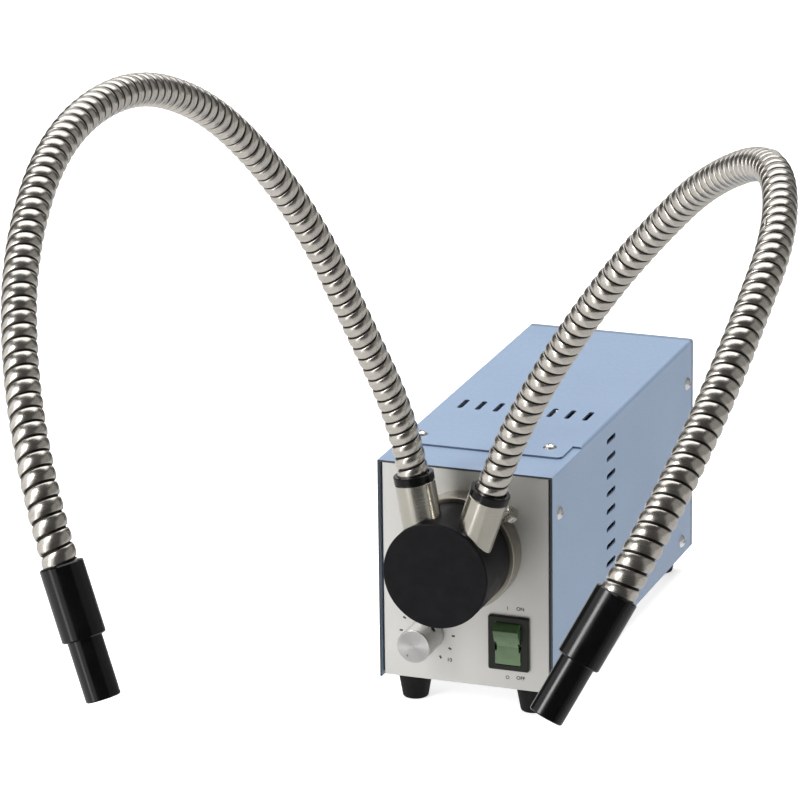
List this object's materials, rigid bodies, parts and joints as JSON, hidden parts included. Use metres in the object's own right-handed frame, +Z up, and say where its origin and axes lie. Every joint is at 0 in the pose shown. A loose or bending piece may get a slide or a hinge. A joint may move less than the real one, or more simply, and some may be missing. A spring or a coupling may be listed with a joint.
{
  "type": "fibre optic illuminator",
  "caption": "Bench light source in a vented sheet metal case with dimmer knob, rocker switch and a two-arm gooseneck fibre light guide.",
  "frame": {"origin": "centre of the case's footprint, on the bench plane under the feet", "axes": "+Z up, the front panel with its controls and light guide faces -Y, +X to the right seen from the front"},
  "size_m": [0.3735, 0.8079, 0.4372],
  "materials": {
    "cover_paint": "fine textured pale blue-grey paint",
    "rear_paint": "dark grey textured paint",
    "panel_silver": "satin silver",
    "zinc_steel": "zinc plated steel sheet",
    "nickel": "nickel plated",
    "stainless": "bright interlocked stainless strip",
    "spun_aluminium": "turned aluminium",
    "black_anodised": "satin black anodised",
    "black_plastic": "black",
    "matte_black_plastic": "black",
    "green_lens": "translucent green",
    "rubber": "black",
    "iron_core": "laminated iron",
    "copper": "enamelled copper winding with yellow tape",
    "brass": "brass",
    "board_green": "solder mask",
    "parts_mixed": "electronic parts",
    "glass_clear": "clear",
    "reflector": "dichroic coated glass",
    "ceramic": "white ceramic",
    "fibre_glass": "polished fibre bundle"
  },
  "bodies": {
    "housing": {"base_chassis": "zinc_steel", "front_frame": "cover_paint", "front_panel": "panel_silver", "cover": "cover_paint", "cover_screws": "nickel", "feet": "rubber", "foot_screws": "nickel", "rear_panel": "rear_paint", "rear_screws": "nickel", "socket_collar": "panel_silver", "collar_ring_nut": "zinc_steel", "potentiometer": "nickel", "switch_housing": "matte_black_plastic", "switch_terminals": "brass", "fan_frame": "matte_black_plastic", "fan_guard": "nickel", "power_inlet": "matte_black_plastic", "inlet_pins": "brass", "fuse_holder": "matte_black_plastic", "transformer_core": "iron_core", "transformer_coil": "copper", "transformer_bolts": "zinc_steel", "control_board": "board_green", "board_components": "parts_mixed", "board_standoffs": "brass", "lamp_bracket": "zinc_steel", "lamp_reflector": "reflector", "lamp_capsule": "glass_clear", "lamp_socket": "ceramic", "heat_filter": "glass_clear"},
    "knob": {"dimmer_knob": "spun_aluminium", "knob_set_screw": "zinc_steel", "potentiometer_shaft": "nickel"},
    "rocker": {"switch_rocker": "green_lens"},
    "collar_screw": {"thumb_screw": "nickel"},
    "rotor": {"fan_rotor": "matte_black_plastic"},
    "fuse_carrier": {"fuse_cap": "black_plastic"},
    "light_guide": {"head_shell": "black_anodised", "head_plug": "black_anodised", "input_ferrule": "nickel", "fibre_trunk": "fibre_glass", "left_ferrule": "nickel", "right_ferrule": "nickel", "ferrule_rings": "rubber"},
    "left_arm_lower": {"left_hose_1": "stainless", "left_fibres_1": "fibre_glass"},
    "left_arm_upper": {"left_hose_2": "stainless", "left_fibres_2": "fibre_glass"},
    "left_arm_tip": {"left_hose_3": "stainless", "left_fibres_3": "fibre_glass", "left_tip_sleeve": "black_anodised", "left_tip_nozzle": "black_anodised"},
    "right_arm_lower": {"right_hose_1": "stainless", "right_fibres_1": "fibre_glass"},
    "right_arm_upper": {"right_hose_2": "stainless", "right_fibres_2": "fibre_glass"},
    "right_arm_tip": {"right_hose_3": "stainless", "right_fibres_3": "fibre_glass", "right_tip_sleeve": "black_anodised", "right_tip_nozzle": "black_anodised"}
  },
  "joints": [
    {"name": "knob_turn", "type": "hinge", "parent": "housing", "child": "knob", "pos_m": [-0.0239, -0.15, 0.0448], "axis": [0, 1, 0], "range_deg": [0, 300]},
    {"name": "switch_rock", "type": "hinge", "parent": "housing", "child": "rocker", "pos_m": [0.0263, -0.133, 0.0448], "axis": [-1, 0, 0], "range_deg": [0, 24]},
    {"name": "thumb_screw_turn", "type": "hinge", "parent": "housing", "child": "collar_screw", "pos_m": [0, -0.143, 0.1003], "axis": [0.7627, 0, 0.6468], "range_deg": [0, 360]},
    {"name": "fan_spin", "type": "hinge", "parent": "housing", "child": "rotor", "pos_m": [0, 0.124, 0.1048], "axis": [0, 1, 0], "continuous": true},
    {"name": "fuse_cap_turn", "type": "hinge", "parent": "housing", "child": "fuse_carrier", "pos_m": [0.032, 0.1395, 0.0385], "axis": [0, 1, 0], "range_deg": [-90, 0]},
    {"name": "guide_turn", "type": "hinge", "parent": "housing", "child": "light_guide", "pos_m": [0, -0.15, 0.1003], "axis": [0, 1, 0], "range_deg": [-30, 30]},
    {"name": "left_base_bend", "type": "hinge", "parent": "light_guide", "child": "left_arm_lower", "pos_m": [-0.017, -0.1745, 0.1534], "axis": [0.9843, 0.0214, 0.1749], "range_deg": [-20, 20]},
    {"name": "left_crown_bend", "type": "hinge", "parent": "left_arm_lower", "child": "left_arm_upper", "pos_m": [-0.0888, -0.34915, 0.4153], "axis": [0.9756, -0.0102, 0.2193], "range_deg": [-25, 25]},
    {"name": "left_tip_bend", "type": "hinge", "parent": "left_arm_upper", "child": "left_arm_tip", "pos_m": [-0.0485, -0.6194, 0.3147], "axis": [0.8979, 0.1056, 0.4274], "range_deg": [-30, 30]},
    {"name": "right_base_bend", "type": "hinge", "parent": "light_guide", "child": "right_arm_lower", "pos_m": [0.0283, -0.1745, 0.1482], "axis": [0.8938, 0.327, -0.307], "range_deg": [-20, 20]},
    {"name": "right_crown_bend", "type": "hinge", "parent": "right_arm_lower", "child": "right_arm_upper", "pos_m": [0.2051, -0.28205, 0.3814], "axis": [0.8015, 0.3684, -0.471], "range_deg": [-25, 25]},
    {"name": "right_tip_bend", "type": "hinge", "parent": "right_arm_upper", "child": "right_arm_tip", "pos_m": [0.25, -0.54345, 0.29705], "axis": [0.7934, 0.2628, -0.5491], "range_deg": [-30, 30]}
  ]
}
